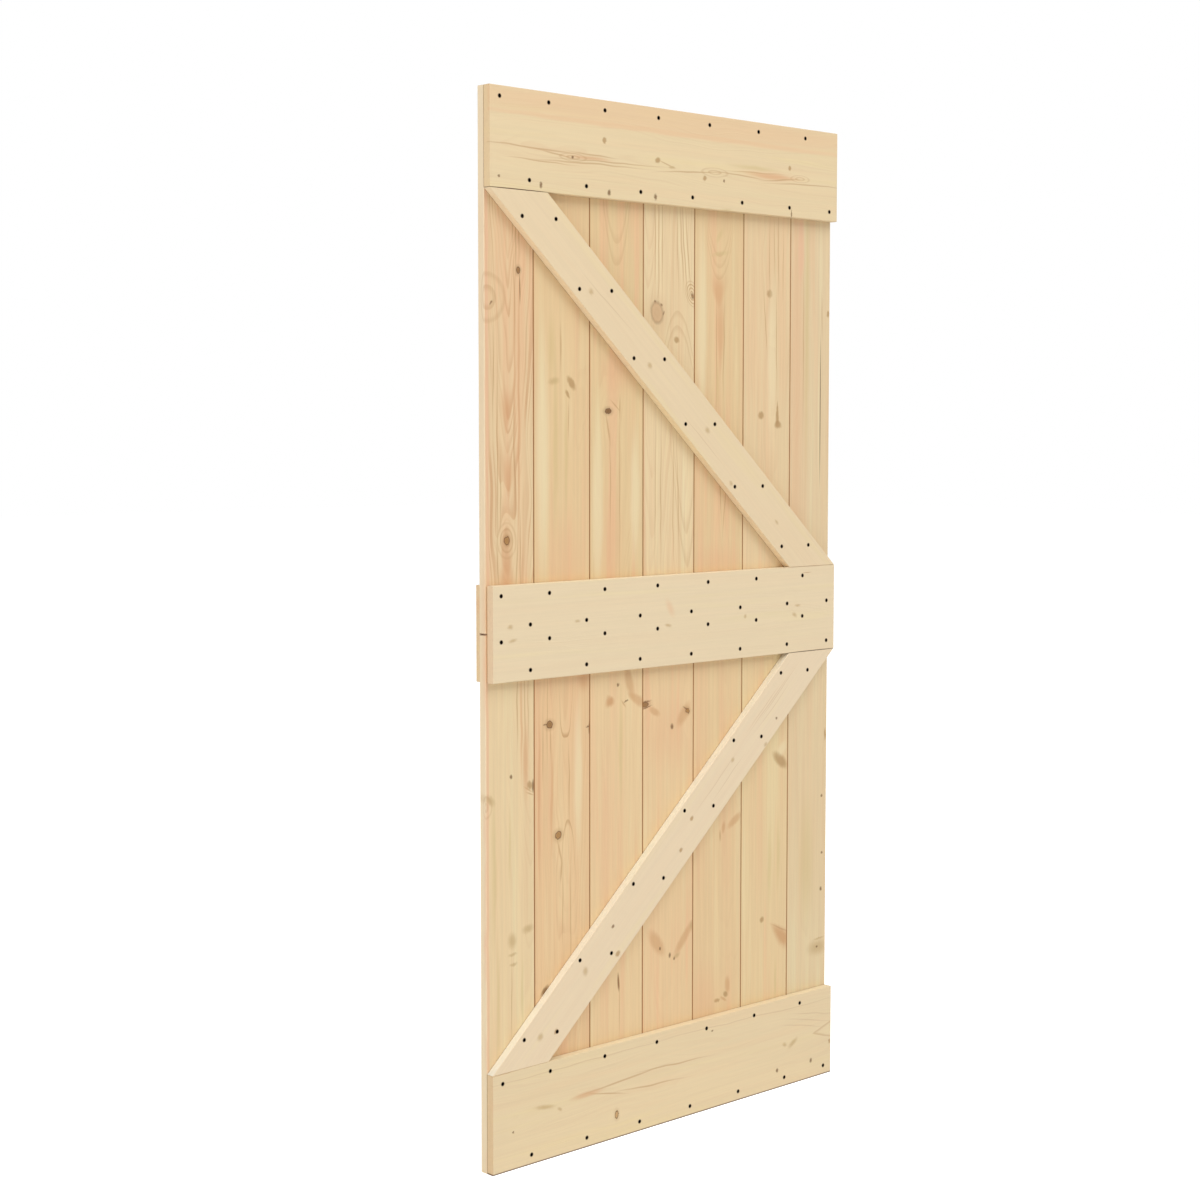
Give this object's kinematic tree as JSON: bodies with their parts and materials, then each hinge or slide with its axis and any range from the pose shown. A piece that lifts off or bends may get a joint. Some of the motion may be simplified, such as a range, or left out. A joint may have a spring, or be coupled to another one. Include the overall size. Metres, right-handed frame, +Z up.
{
  "type": "barn door leaf",
  "caption": "Ledged and braced door leaf of knotty pine planks, with top, middle and bottom rails, slanting braces and sunk screws, in two halves joined at the middle.",
  "frame": {"origin": "middle of the door's bottom edge, halfway through its whole thickness of rails and planks at mid height", "axes": "+X to the right seen from the front, +Y to the back, +Z up along the door's height; the front with the braces faces -Y"},
  "size_m": [1, 0.054, 2.1],
  "materials": {
    "plank_pine": "sanded raw knotty pine, matt",
    "rail_pine": "sanded raw pine, matt",
    "screw_steel": "black coated steel, satin"
  },
  "bodies": {
    "root": {"upper_plank_1": "plank_pine", "upper_plank_2": "plank_pine", "upper_plank_3": "plank_pine", "upper_plank_4": "plank_pine", "upper_plank_5": "plank_pine", "upper_plank_6": "plank_pine", "upper_plank_7": "plank_pine", "lower_plank_1": "plank_pine", "lower_plank_2": "plank_pine", "lower_plank_3": "plank_pine", "lower_plank_4": "plank_pine", "lower_plank_5": "plank_pine", "lower_plank_6": "plank_pine", "lower_plank_7": "plank_pine", "top_rail": "rail_pine", "front_middle_rail": "rail_pine", "back_middle_rail": "rail_pine", "bottom_rail": "rail_pine", "upper_brace": "rail_pine", "lower_brace": "rail_pine", "top_rail_screws": "screw_steel", "upper_brace_screws": "screw_steel", "middle_rail_screws": "screw_steel", "lower_brace_screws": "screw_steel", "bottom_rail_screws": "screw_steel"}
  },
  "joints": []
}
